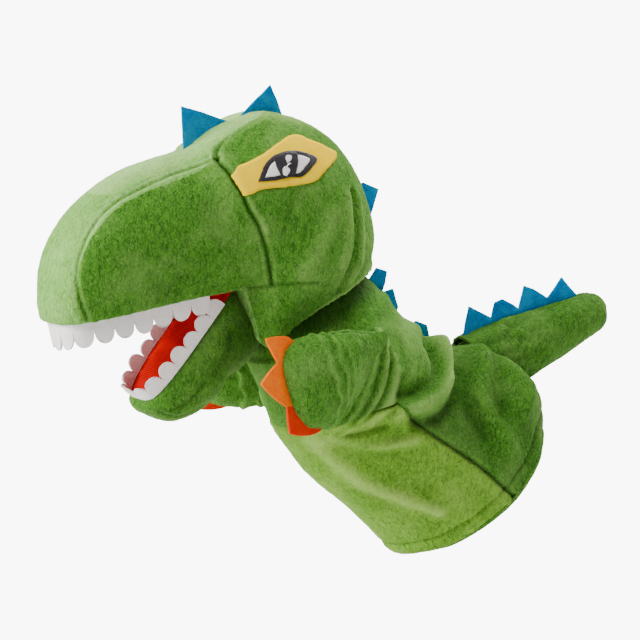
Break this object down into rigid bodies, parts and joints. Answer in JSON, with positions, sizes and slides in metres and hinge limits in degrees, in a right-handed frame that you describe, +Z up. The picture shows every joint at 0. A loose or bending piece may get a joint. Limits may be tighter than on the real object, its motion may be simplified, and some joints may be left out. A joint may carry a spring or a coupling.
{
  "type": "moving mouth hand puppet",
  "caption": "Plush dinosaur hand puppet: a stuffed head with a mouth worked by fingers and thumb, stub arms and a tail on a fabric hand sleeve.",
  "frame": {"origin": "centre of the hand opening in the plane of the hem", "axes": "+Z up, the puppet faces -Y and its own left is +X; the sleeve leans 40 degrees forward, as it is worn"},
  "size_m": [0.1664, 0.3862, 0.3125],
  "materials": {
    "green_plush": "short-pile plush with a soft sheen",
    "belly_plush": "short-pile plush with a soft sheen",
    "blue_felt": "pressed felt",
    "orange_felt": "pressed felt",
    "white_felt": "pressed felt",
    "yellow_satin": "satin weave",
    "black_embroidery": "embroidery thread",
    "white_embroidery": "embroidery thread",
    "red_lining": "smooth woven lining",
    "pocket_cloth": "thin woven cotton",
    "palate_card": "pressed card",
    "stuffing_fibre": "polyester fibre filling"
  },
  "bodies": {
    "torso": {"torso_back_left": "green_plush", "torso_back_right": "green_plush", "torso_belly": "belly_plush", "hem_band": "green_plush", "back_spikes": "blue_felt"},
    "neck": {"neck_sleeve": "green_plush"},
    "head": {"snout_gusset": "green_plush", "snout_side_left": "green_plush", "snout_side_right": "green_plush", "cheek_left": "green_plush", "cheek_right": "green_plush", "nape_panel": "green_plush", "snout_stuffing": "stuffing_fibre", "crown_stuffing": "stuffing_fibre", "cheek_stuffing_left": "stuffing_fibre", "cheek_stuffing_right": "stuffing_fibre", "finger_pocket": "pocket_cloth", "palate_board_upper": "palate_card", "mouth_lining_upper": "red_lining", "mouth_hinge_fold": "red_lining", "teeth_upper": "white_felt", "eye_patch_left": "yellow_satin", "eye_patch_right": "yellow_satin", "eye_outline_left": "black_embroidery", "eye_outline_right": "black_embroidery", "eye_white_left": "white_embroidery", "eye_white_right": "white_embroidery", "eye_iris_left": "black_embroidery", "eye_iris_right": "black_embroidery", "head_spikes": "blue_felt", "nape_spike": "blue_felt"},
    "jaw": {"jaw_skin": "green_plush", "jaw_stuffing": "stuffing_fibre", "thumb_pocket": "pocket_cloth", "palate_board_lower": "palate_card", "mouth_lining_lower": "red_lining", "teeth_lower": "white_felt"},
    "arm_left": {"arm_skin_left": "green_plush", "arm_stuffing_left": "stuffing_fibre", "claws_left": "orange_felt"},
    "arm_right": {"arm_skin_right": "green_plush", "arm_stuffing_right": "stuffing_fibre", "claws_right": "orange_felt"},
    "tail_root": {"tail_root_panel": "green_plush"},
    "tail": {"tail_skin_left": "green_plush", "tail_skin_right": "green_plush", "tail_stuffing": "stuffing_fibre", "tail_spikes": "blue_felt"}
  },
  "joints": [
    {"name": "neck_turn", "type": "hinge", "parent": "torso", "child": "neck", "pos_m": [0, -0.1101, 0.11926], "axis": [0, -0.4393, 0.8983], "range_deg": [-25, 25], "stiffness_Nm_per_rad": 0.8},
    {"name": "head_nod", "type": "hinge", "parent": "neck", "child": "head", "pos_m": [0, -0.1101, 0.11926], "axis": [1, 0, 0], "range_deg": [-18, 18], "stiffness_Nm_per_rad": 1.5, "springref_deg": -2.57},
    {"name": "jaw_open", "type": "hinge", "parent": "head", "child": "jaw", "pos_m": [0, -0.1735, 0.14], "axis": [1, 0, 0], "range_deg": [-38, 8], "stiffness_Nm_per_rad": 0.3, "springref_deg": -0.32, "deforming": ["teeth_lower"]},
    {"name": "arm_left_flap", "type": "hinge", "parent": "torso", "child": "arm_left", "pos_m": [0.0555, -0.106, 0.084], "axis": [0, 0.4384, 0.8988], "range_deg": [-5, 40], "stiffness_Nm_per_rad": 0.1, "springref_deg": -0.12},
    {"name": "arm_right_flap", "type": "hinge", "parent": "torso", "child": "arm_right", "pos_m": [-0.0555, -0.106, 0.084], "axis": [0, 0.4384, 0.8988], "range_deg": [-40, 5], "stiffness_Nm_per_rad": 0.1, "springref_deg": 0.12},
    {"name": "tail_lift", "type": "hinge", "parent": "torso", "child": "tail_root", "pos_m": [0, 0.03017, 0.08928], "axis": [1, 0, 0], "range_deg": [-15, 15], "stiffness_Nm_per_rad": 0.2, "springref_deg": 0.35},
    {"name": "tail_wag", "type": "hinge", "parent": "tail_root", "child": "tail", "pos_m": [0, 0.03017, 0.08928], "axis": [0, -0.3551, 0.9348], "range_deg": [-30, 30], "stiffness_Nm_per_rad": 0.15}
  ]
}
